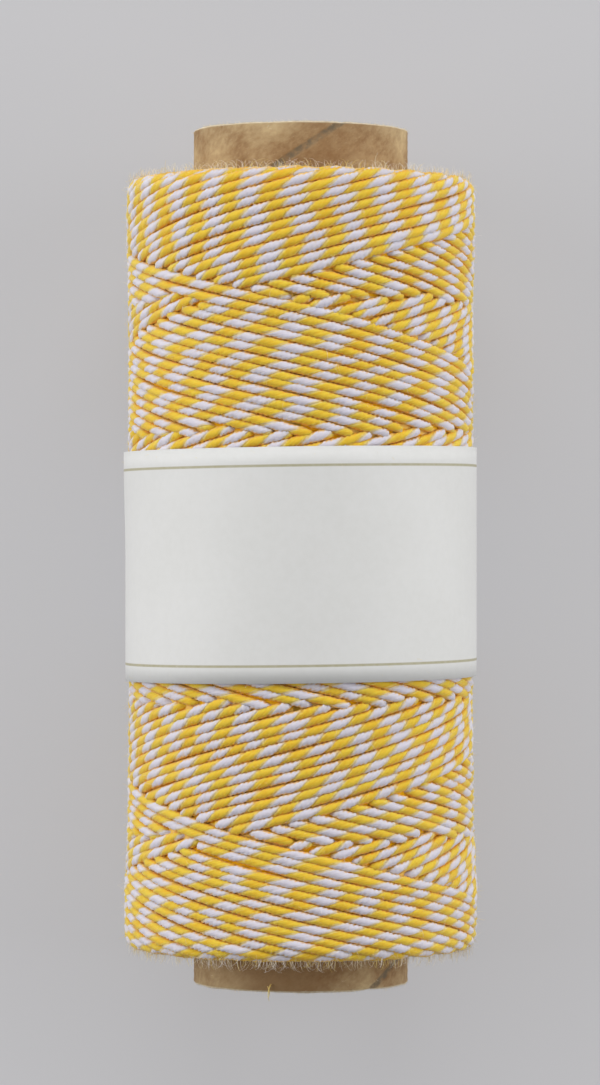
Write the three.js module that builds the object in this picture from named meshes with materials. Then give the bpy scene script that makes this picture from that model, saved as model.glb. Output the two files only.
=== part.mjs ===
// A spool of bakers twine that lies on its side: a cardboard tube, the twine wound on it and a paper band.
// Sizes are in millimetres. The tube's axis runs along Y, Z is up, and the spool rests on the plane z = 0.

import * as THREE from "three";

// Place of the tube's axis above the resting plane. It is a little less than the winding's radius,
// so the twine and the band lie on a small flat spot.
const AXIS_HEIGHT = 22.6;

// Cardboard tube
const CORE_LENGTH = 113.6;
const CORE_OUTER_RADIUS = 14.3;
const CORE_BORE_RADIUS = 12.7;
const CORE_EDGE_ROUND = 0.25;
const CORE_SEGMENTS = 64;

// Gap between the pieces
const PIECE_GAP = 0.3;

// Twine winding. The radius is given at a few places along the tube, from one end to the other.
const WINDING_BORE_RADIUS = CORE_OUTER_RADIUS + PIECE_GAP;
const WINDING_RADII = [
  { y: -51.9, radius: 23.45 },
  { y: -46.0, radius: 23.5 },
  { y: -34.0, radius: 23.1 },
  { y: -20.0, radius: 22.95 },
  { y: 16.0, radius: 23.0 },
  { y: 32.0, radius: 23.0 },
  { y: 44.0, radius: 23.25 },
  { y: 50.4, radius: 23.2 },
];
const WINDING_BOTTOM = WINDING_RADII[0].y;
const WINDING_TOP = WINDING_RADII[WINDING_RADII.length - 1].y;
const SHOULDER_RADIUS = 2.0;
const SHOULDER_STEPS = 4;
const SIDE_STEPS = 12;
const AROUND = 80;

// The ends of the winding dip a little towards the tube.
const END_DIP = 0.7;
const END_RINGS = [
  { reach: 0.0, dip: 1.0 },
  { reach: 0.3, dip: 0.35 },
  { reach: 0.7, dip: 0.0 },
];

// The twine runs in crossed helices, and their crossings raise and lower the surface a little.
const HELIX_LEAD = 35.0;
const CROSSING_RELIEF = 0.12;
const CROSSING_PHASE = 0.6;

// Paper band. It is tilted a little on the winding.
const BAND_THICKNESS = 1.0;
const BAND_OUTER_RADIUS = 23.45;
const BAND_INNER_RADIUS = BAND_OUTER_RADIUS - BAND_THICKNESS;
const BAND_HEIGHT = 30.4;
const BAND_CENTRE_Y = -1.0;
const BAND_TILT = THREE.MathUtils.degToRad(0.77);

// The winding's seat under the band
const SEAT_RADIUS = BAND_INNER_RADIUS - PIECE_GAP;
const SEAT_BOTTOM = BAND_CENTRE_Y - BAND_HEIGHT / 2 - PIECE_GAP;
const SEAT_TOP = BAND_CENTRE_Y + BAND_HEIGHT / 2 + PIECE_GAP;

const KRAFT = { name: "kraft", color: 0xa8875c, roughness: 0.85, metalness: 0 };
const COTTON = { name: "cotton", color: 0xdcb96a, roughness: 0.95, metalness: 0 };
const PAPER = { name: "paper", color: 0xe8e8e2, roughness: 0.7, metalness: 0 };

function finish({ name, color, roughness, metalness }) {
  const material = new THREE.MeshStandardMaterial({ color, roughness, metalness });
  material.name = name;
  return material;
}

// Radius of the winding before its crossings are added, read between the two nearest given places
function windingRadius(y) {
  const upper = WINDING_RADII.findIndex((place) => place.y >= y);
  if (upper <= 0) return WINDING_RADII[Math.max(upper, 0)].radius;
  const a = WINDING_RADII[upper - 1];
  const b = WINDING_RADII[upper];
  const share = THREE.MathUtils.smoothstep(y, a.y, b.y);
  return THREE.MathUtils.lerp(a.radius, b.radius, share);
}

// Height of the two helix families' crossings at an angle and a place along the tube
function crossingRelief(angle, y) {
  const turn = (2 * Math.PI * y) / HELIX_LEAD;
  const rising = Math.cos(angle - turn + CROSSING_PHASE);
  const falling = Math.cos(angle + turn + CROSSING_PHASE);
  return (CROSSING_RELIEF * (rising + falling)) / 2;
}

// A point at an angle from straight up, never lower than the given height above the resting plane
function pointAround(angle, radius, y, lowest, tilt) {
  const down = -Math.cos(angle);
  const reach = down > 0 ? Math.min(radius, (AXIS_HEIGHT - lowest) / down) : radius;
  const x = reach * Math.sin(angle);
  return new THREE.Vector3(x, y + x * Math.tan(tilt), AXIS_HEIGHT + reach * Math.cos(angle));
}

// A closed ring-shaped body: each ring of points joins the next, and the last joins the first.
function ringBody(rings, around) {
  const positions = [];
  const indices = [];
  for (const ring of rings) {
    for (let j = 0; j < around; j += 1) {
      const angle = (2 * Math.PI * j) / around;
      positions.push(...ring(angle).toArray());
    }
  }
  for (let i = 0; i < rings.length; i += 1) {
    const next = (i + 1) % rings.length;
    for (let j = 0; j < around; j += 1) {
      const turn = (j + 1) % around;
      const a = i * around + j;
      const b = i * around + turn;
      const c = next * around + turn;
      const d = next * around + j;
      indices.push(a, b, c, a, c, d);
    }
  }
  const geometry = new THREE.BufferGeometry();
  geometry.setAttribute("position", new THREE.Float32BufferAttribute(positions, 3));
  geometry.setIndex(indices);
  geometry.computeVertexNormals();
  return geometry;
}

// The outside and the seat of the winding, from its lower end to its upper end
function sideRings() {
  const runs = [
    { from: WINDING_BOTTOM + SHOULDER_RADIUS, to: SEAT_BOTTOM, steps: SIDE_STEPS, seated: false },
    { from: SEAT_BOTTOM, to: SEAT_TOP, steps: 1, seated: true },
    { from: SEAT_TOP, to: WINDING_TOP - SHOULDER_RADIUS, steps: SIDE_STEPS, seated: false },
  ];
  const rings = [];
  for (const { from, to, steps, seated } of runs) {
    const lowest = seated ? BAND_THICKNESS + PIECE_GAP : 0;
    for (let i = 0; i <= steps; i += 1) {
      const y = THREE.MathUtils.lerp(from, to, i / steps);
      const tilt = y >= SEAT_BOTTOM && y <= SEAT_TOP ? BAND_TILT : 0;
      rings.push((angle) => {
        const radius = seated ? SEAT_RADIUS : windingRadius(y) + crossingRelief(angle, y);
        return pointAround(angle, radius, y, lowest, tilt);
      });
    }
  }
  return rings;
}

// The rounded shoulder and the end face. side is 1 at the upper end and -1 at the lower one.
// The rings run from the side of the winding towards the tube.
function endRings(side) {
  const end = side > 0 ? WINDING_TOP : WINDING_BOTTOM;
  const radius = windingRadius(end);
  const flatRadius = radius - SHOULDER_RADIUS;
  const rings = [];
  for (let i = 1; i <= SHOULDER_STEPS; i += 1) {
    const lean = (Math.PI / 2) * (i / SHOULDER_STEPS);
    const y = end - side * SHOULDER_RADIUS * (1 - Math.sin(lean));
    const reach = flatRadius + SHOULDER_RADIUS * Math.cos(lean);
    rings.push((angle) => pointAround(angle, reach, y, radius - reach, 0));
  }
  for (const { reach, dip } of END_RINGS.toReversed()) {
    const ringRadius = THREE.MathUtils.lerp(WINDING_BORE_RADIUS, flatRadius, reach);
    const y = end - side * END_DIP * dip;
    rings.push((angle) => pointAround(angle, ringRadius, y, 0, 0));
  }
  return rings;
}

// The wound form of the twine: outside, ends and the bore that fits round the tube
function twineWinding() {
  const rings = [...endRings(-1).toReversed(), ...sideRings(), ...endRings(1)];
  const mesh = new THREE.Mesh(ringBody(rings, AROUND), finish(COTTON));
  mesh.name = "twine_winding";
  return mesh;
}

// The paper band, flat where it rests, with its edges tilted as one
function labelBand() {
  const low = BAND_CENTRE_Y - BAND_HEIGHT / 2;
  const high = BAND_CENTRE_Y + BAND_HEIGHT / 2;
  const section = [
    { y: low, radius: BAND_INNER_RADIUS, lowest: BAND_THICKNESS },
    { y: low, radius: BAND_OUTER_RADIUS, lowest: 0 },
    { y: high, radius: BAND_OUTER_RADIUS, lowest: 0 },
    { y: high, radius: BAND_INNER_RADIUS, lowest: BAND_THICKNESS },
  ];
  const rings = section.map(({ y, radius, lowest }) => (angle) => pointAround(angle, radius, y, lowest, BAND_TILT));
  const mesh = new THREE.Mesh(ringBody(rings, AROUND), finish(PAPER));
  mesh.name = "label_band";
  return mesh;
}

// The tube: a closed wall section turned round the axis, with slightly softened cut edges
function coreTube() {
  const half = CORE_LENGTH / 2;
  const soft = CORE_EDGE_ROUND;
  const section = [
    [CORE_BORE_RADIUS, -half + soft],
    [CORE_BORE_RADIUS + soft, -half],
    [CORE_OUTER_RADIUS - soft, -half],
    [CORE_OUTER_RADIUS, -half + soft],
    [CORE_OUTER_RADIUS, half - soft],
    [CORE_OUTER_RADIUS - soft, half],
    [CORE_BORE_RADIUS + soft, half],
    [CORE_BORE_RADIUS, half - soft],
    [CORE_BORE_RADIUS, -half + soft],
  ].map(([radius, along]) => new THREE.Vector2(radius, along));
  const mesh = new THREE.Mesh(new THREE.LatheGeometry(section, CORE_SEGMENTS), finish(KRAFT));
  mesh.name = "core_tube";
  mesh.position.z = AXIS_HEIGHT;
  return mesh;
}

const spool = new THREE.Group();
spool.add(coreTube(), twineWinding(), labelBand());

export default spool;
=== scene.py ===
"""A spool of two-colour bakers twine that lies on its side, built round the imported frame.

A spiral-wound kraft tube carries cross-wound two-ply twine, and a plain paper band goes round the
middle. The tube lies along Y and the floor is z = 0. Sizes in the classes are in millimetres, as a
maker would give them, and every mesh is written in metres. Angles round the tube start straight up
and grow towards +X.
"""

import logging
import math
from collections.abc import Mapping, Sequence
from dataclasses import dataclass, field
from enum import Enum
from typing import Any, ClassVar

import bpy
import numpy as np
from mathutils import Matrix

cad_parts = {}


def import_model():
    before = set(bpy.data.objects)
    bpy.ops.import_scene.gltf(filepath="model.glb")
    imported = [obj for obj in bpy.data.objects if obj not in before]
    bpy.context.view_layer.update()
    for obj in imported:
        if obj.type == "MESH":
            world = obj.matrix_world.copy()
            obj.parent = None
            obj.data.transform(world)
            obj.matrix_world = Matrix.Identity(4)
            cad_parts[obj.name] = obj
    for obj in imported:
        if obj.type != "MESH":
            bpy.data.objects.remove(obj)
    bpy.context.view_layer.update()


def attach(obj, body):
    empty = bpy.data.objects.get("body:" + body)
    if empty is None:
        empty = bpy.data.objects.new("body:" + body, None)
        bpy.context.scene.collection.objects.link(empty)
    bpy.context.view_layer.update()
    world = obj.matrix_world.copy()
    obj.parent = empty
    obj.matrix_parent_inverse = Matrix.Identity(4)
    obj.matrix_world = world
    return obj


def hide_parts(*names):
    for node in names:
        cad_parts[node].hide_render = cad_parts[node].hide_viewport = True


MM = 0.001
TURN = 2 * math.pi
BODY = "root"

# The tube's axis above the floor, a little less than the winding's radius: the spool lies on a
# small flat
AXIS_HEIGHT = 22.6

# The angle past which an edge of a ply is shaded sharp
CREASE = 1.3

Colour = tuple[float, float, float]

log = logging.getLogger("spool")


# ---- Node trees ----


@dataclass(frozen=True)
class Wire:
    """One output of a node, with arithmetic that adds Math nodes to its tree."""

    graph: "Graph"
    socket: bpy.types.NodeSocket

    def math(self, operation: str, *others: "Wire | float") -> "Wire":
        """Feed this wire and others to a Math node."""
        values = dict(enumerate((self, *others)))
        return self.graph.node("ShaderNodeMath", {"operation": operation}, values)[0]

    def __add__(self, other: "Wire | float") -> "Wire":
        """Add another value."""
        return self.math("ADD", other)

    def __radd__(self, other: float) -> "Wire":
        """Add this to a number."""
        return self.math("ADD", other)

    def __sub__(self, other: "Wire | float") -> "Wire":
        """Take another value away."""
        return self.math("SUBTRACT", other)

    def __rsub__(self, other: float) -> "Wire":
        """Take this away from a number."""
        return self.math("MULTIPLY", -1.0) + other

    def __mul__(self, other: "Wire | float") -> "Wire":
        """Multiply by another value."""
        return self.math("MULTIPLY", other)

    def __truediv__(self, other: "Wire | float") -> "Wire":
        """Divide by another value."""
        return self.math("DIVIDE", other)

    def clamp(self) -> "Wire":
        """Keep the value from 0 to 1."""
        return self.math("MAXIMUM", 0.0).math("MINIMUM", 1.0)

    def smooth(self, low: float, high: float) -> "Wire":
        """Rise smoothly from 0 at low to 1 at high.

        Args:
            low: The value that gives 0.
            high: The value that gives 1.

        Returns:
            The eased share.
        """
        settings = {"interpolation_type": "SMOOTHSTEP"}
        sockets = {"Value": self, "From Min": low, "From Max": high}
        return self.graph.node("ShaderNodeMapRange", settings, sockets)[0]


@dataclass(frozen=True)
class NodeOutputs:
    """The outputs of one node, read by name or number."""

    graph: "Graph"
    made: bpy.types.Node

    def __getitem__(self, key: str | int) -> Wire:
        """Return the output that is in use under a name, or the one at a number."""
        usable = [s for s in self.made.outputs if s.enabled]
        named = (s for s in usable if s.name == key)
        return Wire(self.graph, usable[key] if isinstance(key, int) else next(named))


@dataclass
class Graph:
    """A shader or geometry node tree that is filled from Python expressions."""

    tree: bpy.types.NodeTree

    def node(
        self,
        kind: str,
        settings: Mapping[str, Any] | None = None,
        sockets: Mapping[str | int, Any] | None = None,
    ) -> NodeOutputs:
        """Add a node.

        Args:
            kind: The node's type.
            settings: Its own settings, set before its sockets.
            sockets: Values or wires for its inputs, by name or by number among those in use.

        Returns:
            The node's outputs.
        """
        made = self.tree.nodes.new(kind)
        for key, value in (settings or {}).items():
            setattr(made, key, value)
        for key, value in (sockets or {}).items():
            usable = [s for s in made.inputs if s.enabled]
            named = (s for s in usable if s.name == key)
            socket = usable[key] if isinstance(key, int) else next(named)
            if isinstance(value, Wire):
                self.tree.links.new(value.socket, socket)
            elif value is not None:
                socket.default_value = value
        return NodeOutputs(self, made)

    def split(self, vector: Wire) -> NodeOutputs:
        """Split a vector into its three numbers."""
        return self.node("ShaderNodeSeparateXYZ", None, {0: vector})

    def join(self, **numbers: Wire | float) -> Wire:
        """Join numbers, each under its axis, into a vector."""
        return self.node("ShaderNodeCombineXYZ", None, numbers)[0]

    def mix(self, share: Wire | float, first: Wire | Colour, second: Wire | Colour) -> Wire:
        """Mix two colours.

        Args:
            share: How much of the second colour there is.
            first: The colour at 0.
            second: The colour at 1.

        Returns:
            The mixed colour.
        """
        pair = [c if isinstance(c, Wire) else (*c, 1.0) for c in (first, second)]
        sockets = {"Factor": share, "A": pair[0], "B": pair[1]}
        return self.node("ShaderNodeMix", {"data_type": "RGBA"}, sockets)[0]

    def vector(self, operation: str, *values: Any) -> Wire:
        """Feed values to a Vector Math node."""
        settings = {"operation": operation}
        return self.node("ShaderNodeVectorMath", settings, dict(enumerate(values)))[0]

    def scaled(self, vector: Wire, factor: Wire | float) -> Wire:
        """Scale a vector by a number or a wire."""
        sockets = {"Vector": vector, "Scale": factor}
        return self.node("ShaderNodeVectorMath", {"operation": "SCALE"}, sockets)[0]

    def noise(
        self, vector: Wire, scale: float, detail: float = 2.0, roughness: float = 0.5
    ) -> Wire:
        """Add a noise texture."""
        sockets = {"Vector": vector, "Scale": scale, "Detail": detail, "Roughness": roughness}
        return self.node("ShaderNodeTexNoise", None, sockets)[0]


@dataclass
class Surface(Graph):
    """A material's node tree, with a Principled shader at its end."""

    material: bpy.types.Material = field(init=False)
    shader: bpy.types.Node = field(init=False)

    @classmethod
    def named(cls, name: str, constants: Mapping[str, Any]) -> "Surface":
        """Start a material.

        Args:
            name: The material's name.
            constants: What is the same all over, by the shader's socket.

        Returns:
            The surface to dress.
        """
        material = bpy.data.materials.new(name)
        material.use_nodes = True
        surface = cls(material.node_tree)
        surface.material = material
        surface.shader = next(n for n in material.node_tree.nodes if n.type == "BSDF_PRINCIPLED")
        for key, value in constants.items():
            surface.shader.inputs[key].default_value = value
        return surface

    def feed(self, socket: str, value: Wire) -> None:
        """Link a wire to the shader."""
        self.tree.links.new(value.socket, self.shader.inputs[socket])

    def attribute(self, name: str, output: str = "Fac") -> Wire:
        """Read an attribute of the piece's mesh: Fac for a number, Vector for a vector."""
        return self.node("ShaderNodeAttribute", {"attribute_name": name})[output]

    def place(self) -> Wire:
        """Return the place on the piece, in metres."""
        return self.node("ShaderNodeTexCoord")["Object"]

    def bump(self, height: Wire, depth_mm: float) -> None:
        """Raise the surface, by a depth where the height is 1."""
        sockets = {"Strength": 1.0, "Distance": depth_mm * MM, "Height": height}
        self.feed("Normal", self.node("ShaderNodeBump", None, sockets)["Normal"])


# ---- Finishes ----


@dataclass(frozen=True)
class CottonFinish:
    """Soft cotton yarn: its fibres run along the ply, and its grooves are painted warmer, as
    painted shade and bounced light between the strands.
    """

    name: str
    lit: Colour
    deep: Colour
    # The groove colour is painted shade and painted bounce light between the strands; on the white
    # ply it is partly the real yellow of the other ply's fibres too
    groove: Colour
    stray: Colour
    groove_shade_low: float = 0.2
    groove_shade_high: float = 0.5
    fibre_length: float = 1.5
    fibres_around: float = 3.4
    apart: float = 37.0
    fibre_relief: float = 0.1
    sheen: float = 0.22
    softness: float = 0.45

    def material(self) -> bpy.types.Material:
        """Build the yarn's material.

        Returns:
            The material.
        """
        constants = {
            "Roughness": 0.9,
            "Specular IOR Level": 0.15,
            "Sheen Weight": self.sheen,
            "Sheen Roughness": 0.6,
            "Subsurface Weight": self.softness,
            "Subsurface Radius": (1.0, 0.9, 0.8),
            "Subsurface Scale": 0.6 * MM,
        }
        surface = Surface.named(self.name, constants)
        run = surface.attribute("run") * (1.0 / self.fibre_length)
        around = surface.split(surface.attribute("around", "Vector"))
        tone = surface.attribute("tone")
        ply = (around[0] * self.fibres_around + tone * self.apart, around[1] * self.fibres_around)
        along = surface.join(X=run, Y=ply[0], Z=ply[1])
        fibres = surface.noise(along, 1.0, 3.0, 0.6)
        patches = surface.noise(surface.place(), 260.0, 2.0)
        share = fibres.smooth(0.32, 0.62) * 0.6 + patches.smooth(0.35, 0.65) * 0.25 + tone * 0.2
        base = surface.mix(share.clamp(), self.deep, self.lit)
        strays = surface.noise(surface.vector("ADD", along, (3.7, 11.0, 5.0)), 1.3, 2.0, 0.6)
        edge = 1.0 - around[0].smooth(-0.4, 0.55)
        base = surface.mix((strays.smooth(0.42, 0.58) * edge).clamp(), base, self.stray)
        # Painted shade and bounce light: the colour turns to the groove colour low on each ply and
        # along its edges, in the grooves between strands
        uneven = (patches - 0.5) * 0.35 + (fibres - 0.5) * 0.25
        height = surface.attribute("rise") + uneven - edge * 0.08
        groove = 1.0 - height.smooth(self.groove_shade_low, self.groove_shade_high)
        surface.feed("Base Color", surface.mix(groove, base, self.groove))
        surface.bump(fibres, self.fibre_relief)
        return surface.material


@dataclass(frozen=True)
class FuzzFinish:
    """Loose single fibres that stand off the yarn or the board."""

    name: str
    first: Colour
    second: Colour

    def material(self) -> bpy.types.Material:
        """Build the fibres' material.

        Returns:
            The material.
        """
        constants = {"Roughness": 0.8, "Specular IOR Level": 0.2, "Sheen Weight": 0.3}
        surface = Surface.named(self.name, constants)
        mixed = surface.noise(surface.place(), 900.0, 1.0)
        surface.feed("Base Color", surface.mix(mixed.smooth(0.35, 0.65), self.first, self.second))
        return surface.material


@dataclass(frozen=True)
class UnderTwineFinish:
    """The deeper layers of the winding, which show only in the gaps between strands: yellow and
    white twine, coloured in warm tints that are painted bounce light in the gaps.
    """

    name: str
    first: Colour
    second: Colour
    pitch: float = 5.8
    strand: float = 1.2

    def material(self) -> bpy.types.Material:
        """Build the material of the deeper layers.

        Returns:
            The material.
        """
        surface = Surface.named(self.name, {"Roughness": 0.9, "Specular IOR Level": 0.1})
        unrolled = surface.split(surface.attribute("unrolled", "Vector"))
        along, across = unrolled[0], unrolled[1]
        twist = (along * (TURN / self.pitch) + across * (TURN / (2.2 * self.strand))).math("SINE")
        rib = (across * (TURN / self.strand)).math("COSINE")
        share = twist.smooth(-0.35, 0.35)
        surface.feed("Base Color", surface.mix(share, self.first, self.second))
        surface.bump(rib * 0.5 + 0.5, 0.25)
        return surface.material


@dataclass(frozen=True)
class KraftFinish:
    """Spiral-wound kraft board: mottled brown paper outside with painted shade, paler fibres where
    it is cut.
    """

    name: str
    face: Colour
    dark: Colour
    fleck: Colour
    cut: Colour
    cut_dark: Colour
    seam: Colour
    # Painted shade on the board: where its darkened middle band lies across the tube, how it leans
    # along it, and how wide it is
    shade_patch_at: float = 0.5 * MM
    shade_patch_lean: float = 0.057
    shade_patch_half: float = 11.5 * MM

    def material(self) -> bpy.types.Material:
        """Build the board's material, from the tube's strip and wall attributes.

        Returns:
            The material.
        """
        surface = Surface.named(self.name, {"Roughness": 0.8, "Specular IOR Level": 0.25})
        strip = surface.attribute("strip", "Vector")
        grain_at = surface.vector("MULTIPLY", strip, (0.8, 1.3, 1.0))
        grain = surface.noise(grain_at, 1.0, 4.0, 0.65)
        cloud = surface.noise(surface.place(), 105.0, 5.0, 0.62)
        fleck_at = surface.vector("MULTIPLY", strip, (1.4, 5.0, 1.0))
        flecks = surface.noise(fleck_at, 1.0, 1.0)
        mottle = (grain.smooth(0.3, 0.7) * 0.3 + cloud.smooth(0.33, 0.67) * 0.7).clamp()
        base = surface.mix(mottle, self.dark, self.face)
        base = surface.mix(flecks.smooth(0.62, 0.75) * 0.28, base, self.fleck)
        # Painted shade, not dirt: the board is darkened in a band down its middle, more and more
        # towards the lower end, and next to the winding at the upper end, where shade falls
        spot = surface.split(surface.place())
        aside = spot[0] - self.shade_patch_at - spot[1] * self.shade_patch_lean
        painted_shade = 1.0 - aside.math("ABSOLUTE").smooth(1.0 * MM, self.shade_patch_half)
        lower = 1.0 - spot[1].smooth(-50.0 * MM, 45.0 * MM)
        near = (1.0 - spot[1].smooth(51.0 * MM, 55.0 * MM)) * (1.0 - lower)
        painted_shade = painted_shade * (0.32 + lower * 0.38) + lower * 0.08 + near * 0.16
        base = surface.mix(painted_shade, base, self.dark)
        wall = surface.split(surface.attribute("wall", "Vector"))
        cut, depth, seam = wall[0], wall[1], wall[2]
        sheets = (depth * (TURN / 0.32)).math("SINE").smooth(-0.2, 0.9)
        fuzz = surface.noise(surface.place(), 2600.0, 3.0, 0.7)
        pale = (sheets * 0.5 + fuzz.smooth(0.35, 0.65) * 0.5).clamp()
        edge = surface.mix(pale, self.cut_dark, self.cut)
        worn = surface.noise(surface.place(), 1300.0, 2.0, 0.6).smooth(0.3, 0.66)
        base = surface.mix(seam.smooth(0.05, 0.7) * (0.2 + worn * 0.7), base, self.seam)
        surface.feed("Base Color", surface.mix(cut, base, edge))
        surface.feed("Roughness", 0.72 + grain * 0.2 + cut * 0.1)
        surface.bump(grain * 0.4 + fuzz * 0.6, 0.06)
        return surface.material


@dataclass(frozen=True)
class PaperFinish:
    """Smooth uncoated label paper with two thin printed lines along its edges."""

    name: str
    sheet: Colour
    shade: Colour
    line: Colour
    height: float
    upper_line: float
    lower_line: float
    line_width: float

    def material(self) -> bpy.types.Material:
        """Build the paper's material, from the band's strip attribute.

        Returns:
            The material.
        """
        surface = Surface.named(self.name, {"Specular IOR Level": 0.35})
        strip = surface.split(surface.attribute("strip", "Vector"))
        across, outer = strip[1], strip[2]
        pulp = surface.noise(surface.place(), 900.0, 4.0, 0.6)
        cloud = surface.noise(surface.place(), 70.0, 2.0)
        share = (pulp.smooth(0.25, 0.75) * 0.5 + cloud.smooth(0.3, 0.7) * 0.5).clamp()
        base = surface.mix(share, self.shade, self.sheet)
        places = (self.height / 2 - self.upper_line, self.lower_line - self.height / 2)
        marks = [self._line(across, place) for place in places]
        worn = 0.75 + surface.noise(surface.place(), 1400.0, 2.0) * 0.35
        ink = ((marks[0] + marks[1]) * worn * outer).clamp()
        surface.feed("Base Color", surface.mix(ink, base, self.line))
        surface.feed("Roughness", 0.5 + pulp * 0.2)
        surface.bump(pulp, 0.012)
        return surface.material

    def _line(self, across: Wire, place: float) -> Wire:
        """Mask one printed line, 1 on it and 0 off it."""
        away = (across - place).math("ABSOLUTE")
        return 1.0 - away.smooth(self.line_width * 0.35, self.line_width * 0.75)


@dataclass(frozen=True)
class FloorFinish:
    """A pale lit table, whose own light keeps the shadows faint."""

    name: str
    colour: Colour
    glow: Colour
    glow_strength: float

    def material(self) -> bpy.types.Material:
        """Build the table's material.

        Returns:
            The material.
        """
        constants = {
            "Base Color": (*self.colour, 1.0),
            "Roughness": 0.9,
            "Specular IOR Level": 0.1,
            "Emission Color": (*self.glow, 1.0),
            "Emission Strength": self.glow_strength,
        }
        return Surface.named(self.name, constants).material


# The groove colours are painted shade and bounced light for the grooves between strands
YELLOW_COTTON = CottonFinish(
    "cotton_yellow",
    lit=(0.83, 0.595, 0.048),
    deep=(0.78, 0.45, 0.012),
    groove=(0.93, 0.45, 0.004),
    stray=(0.84, 0.68, 0.36),
)
WHITE_COTTON = CottonFinish(
    "cotton_white",
    lit=(0.71, 0.68, 0.765),
    deep=(0.66, 0.62, 0.68),
    groove=(0.93, 0.53, 0.08),
    stray=(0.86, 0.63, 0.18),
)
# The deeper layers' warm tints are painted bounce light in the gaps, over the real yellow and white
# twine
UNDER_TWINE = UnderTwineFinish("cotton_under", first=(0.90, 0.50, 0.012), second=(0.88, 0.62, 0.16))
KRAFT_FUZZ = FuzzFinish("fuzz_kraft", first=(0.72, 0.62, 0.42), second=(0.80, 0.74, 0.58))
YELLOW_FUZZ = FuzzFinish("fuzz_yellow", first=(0.85, 0.62, 0.10), second=(0.88, 0.74, 0.30))
WHITE_FUZZ = FuzzFinish("fuzz_white", first=(0.86, 0.83, 0.80), second=(0.88, 0.80, 0.58))
KRAFT = KraftFinish(
    "kraft_board",
    face=(0.57, 0.445, 0.25),
    dark=(0.245, 0.14, 0.062),
    fleck=(0.56, 0.45, 0.28),
    cut=(0.80, 0.73, 0.56),
    cut_dark=(0.47, 0.36, 0.22),
    seam=(0.15, 0.125, 0.085),
)


# ---- Meshes ----


def smoothstep(value: np.ndarray, low: float, high: float) -> np.ndarray:
    """Ease from 0 at low to 1 at high."""
    share = np.clip((np.asarray(value, dtype=float) - low) / (high - low), 0.0, 1.0)
    return share * share * (3.0 - 2.0 * share)


def columns(*values: np.ndarray | float) -> np.ndarray:
    """Put arrays of one shape, or numbers beside them, together as the columns of one array."""
    return np.stack(np.broadcast_arrays(*values), axis=-1)


def floor_reach(angle: np.ndarray, radius: np.ndarray, clearance: float) -> np.ndarray:
    """Shorten distances from the spool's axis where they would end too near the floor.

    Args:
        angle: Angles from straight up, towards +X.
        radius: The distances.
        clearance: The least height above the floor.

    Returns:
        The distances that are left.
    """
    down, steep = -np.cos(angle), 0.2
    shortened = np.minimum(radius, (AXIS_HEIGHT - clearance) / np.maximum(down, steep))
    return np.where(down > steep, shortened, radius)


def keep_attribute(mesh: bpy.types.Mesh, name: str, values: np.ndarray) -> None:
    """Write a number or a vector to each point of a mesh.

    Args:
        mesh: The mesh.
        name: The attribute's name.
        values: One value or one row of three for each point.
    """
    vector = values.ndim == 2
    made = mesh.attributes.new(name, "FLOAT_VECTOR" if vector else "FLOAT", "POINT")
    made.data.foreach_set("vector" if vector else "value", values.astype(np.float32).ravel())


def new_mesh(
    name: str, points_mm: np.ndarray, faces: Sequence[Sequence[int]], edges: Sequence = ()
) -> bpy.types.Mesh:
    """Make a mesh from points in millimetres.

    Args:
        name: The mesh's name.
        points_mm: Its points.
        faces: Its faces.
        edges: Its loose edges.

    Returns:
        The mesh, in metres.
    """
    mesh = bpy.data.meshes.new(name)
    mesh.from_pydata((points_mm * MM).tolist(), edges, faces)
    mesh.update()
    return mesh


def new_piece(
    name: str, mesh: bpy.types.Mesh, material: bpy.types.Material | None = None
) -> bpy.types.Object:
    """Put a mesh in the scene as an object at the origin.

    Args:
        name: The object's name.
        mesh: Its mesh.
        material: Its material, where the mesh has none.

    Returns:
        The object.
    """
    piece = bpy.data.objects.new(name, mesh)
    bpy.context.scene.collection.objects.link(piece)
    if material is not None:
        mesh.materials.append(material)
        mesh.shade_smooth()
    return piece


def ring_faces(rings: int, around: int, closed: bool) -> list[tuple[int, int, int, int]]:
    """Join rings of points with faces.

    Args:
        rings: How many rings there are.
        around: The points in each.
        closed: Whether the last ring joins the first.

    Returns:
        The faces.
    """
    faces = []
    for i in range(rings if closed else rings - 1):
        near, far = i * around, (i + 1) % rings * around
        for j in range(around):
            turn = (j + 1) % around
            faces.append((near + j, near + turn, far + turn, far + j))
    return faces


def hand_over(piece: bpy.types.Object, node: str) -> None:
    """Attach a piece to the body, hide the CAD node that it stands for, and log its triangles.

    Args:
        piece: The piece.
        node: The CAD node that it replaces.
    """
    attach(piece, BODY)
    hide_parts(node)
    triangles = sum(len(p.vertices) - 2 for p in piece.data.polygons)
    log.info("%s: %d triangles", piece.name, triangles)


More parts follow.
